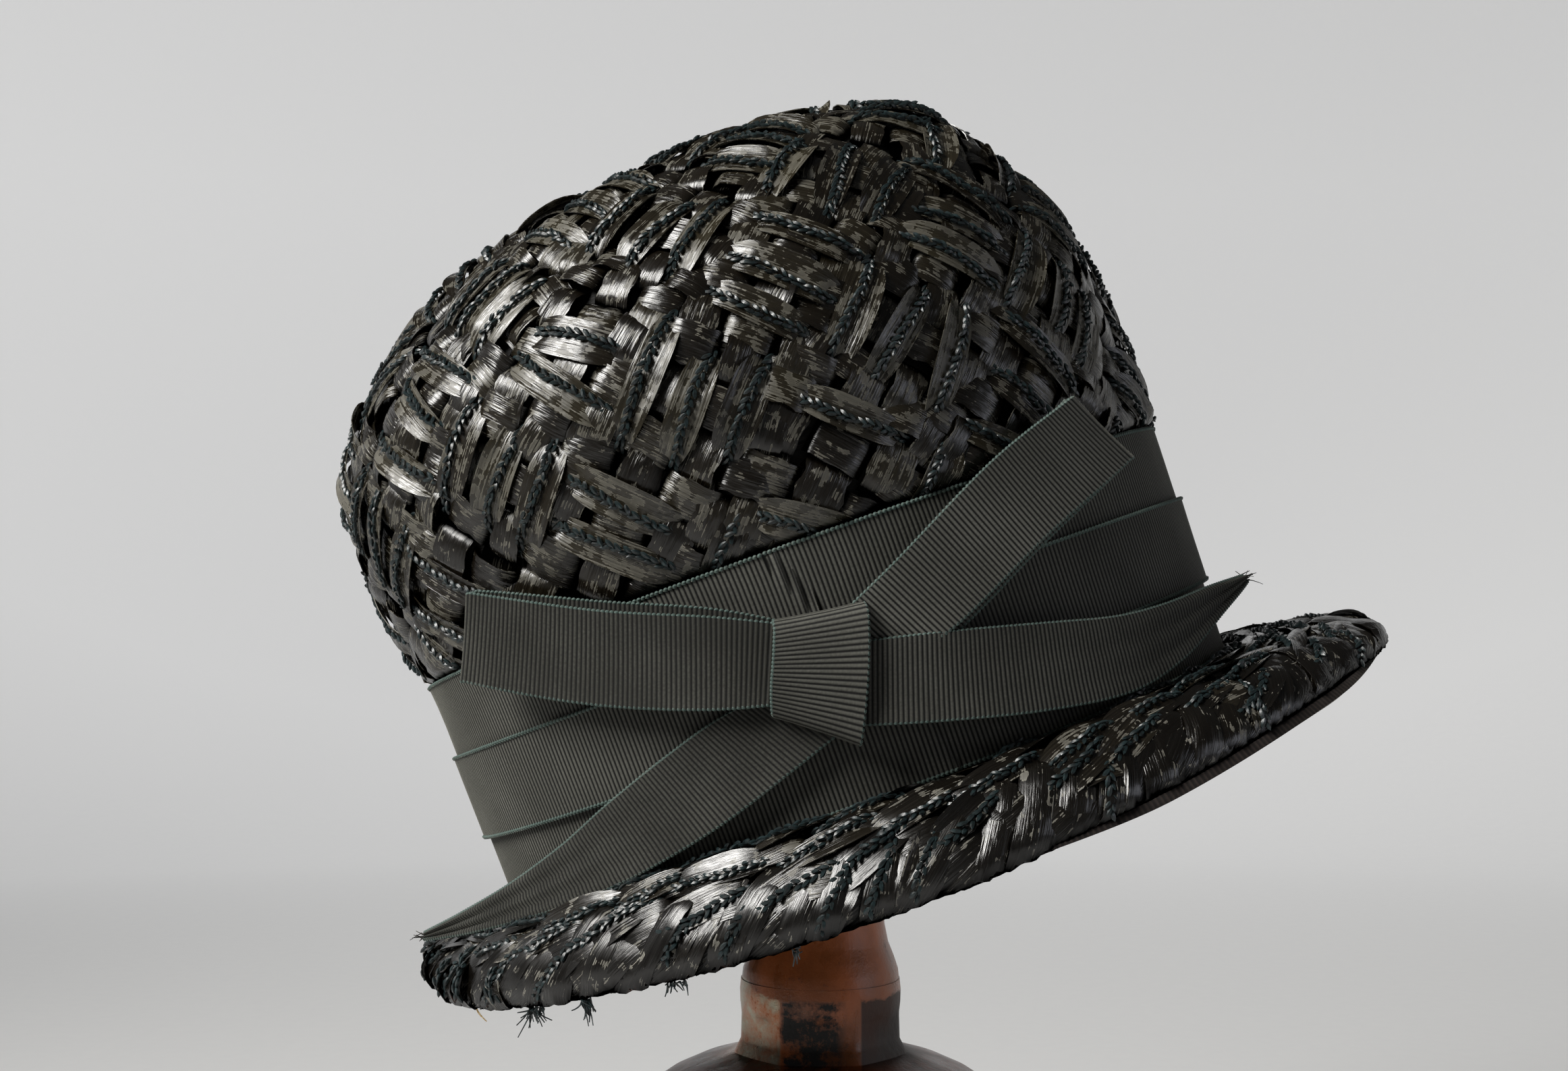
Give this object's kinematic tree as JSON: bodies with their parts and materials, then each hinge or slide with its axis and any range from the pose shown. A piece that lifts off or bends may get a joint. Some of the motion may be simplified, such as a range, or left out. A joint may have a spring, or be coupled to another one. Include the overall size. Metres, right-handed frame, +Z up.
{
  "type": "woven straw cloche hat on a display stand",
  "caption": "Woven straw cloche with a domed crown, rolled brim, tiered grosgrain band and flat bow, leaning on a plain turned display stand.",
  "frame": {"origin": "middle of the stand's flat foot, on the surface that it stands on", "axes": "+Z up along the stand's axis, +X towards the hat's raised front end, -Y towards the side that carries the bow"},
  "size_m": [0.2886, 0.2176, 0.3759],
  "materials": {
    "straw": "glossy black cellophane straw strips, woven, with chain-stitched cord",
    "grosgrain": "matt ribbed ribbon, scalloped edges",
    "binding": "matt ribbed binding ribbon",
    "stand": "turned wood with a worn brown metallic paint, sooty patches"
  },
  "bodies": {
    "root": {"crown": "straw", "brim": "straw", "brim_binding": "binding", "band_upper": "grosgrain", "band_middle": "grosgrain", "band_lower": "grosgrain", "bow_loop_left": "grosgrain", "bow_loop_right": "grosgrain", "bow_tail_left": "grosgrain", "bow_tail_right": "grosgrain", "bow_knot": "grosgrain", "stand_body": "stand", "stand_post": "stand"}
  },
  "joints": []
}
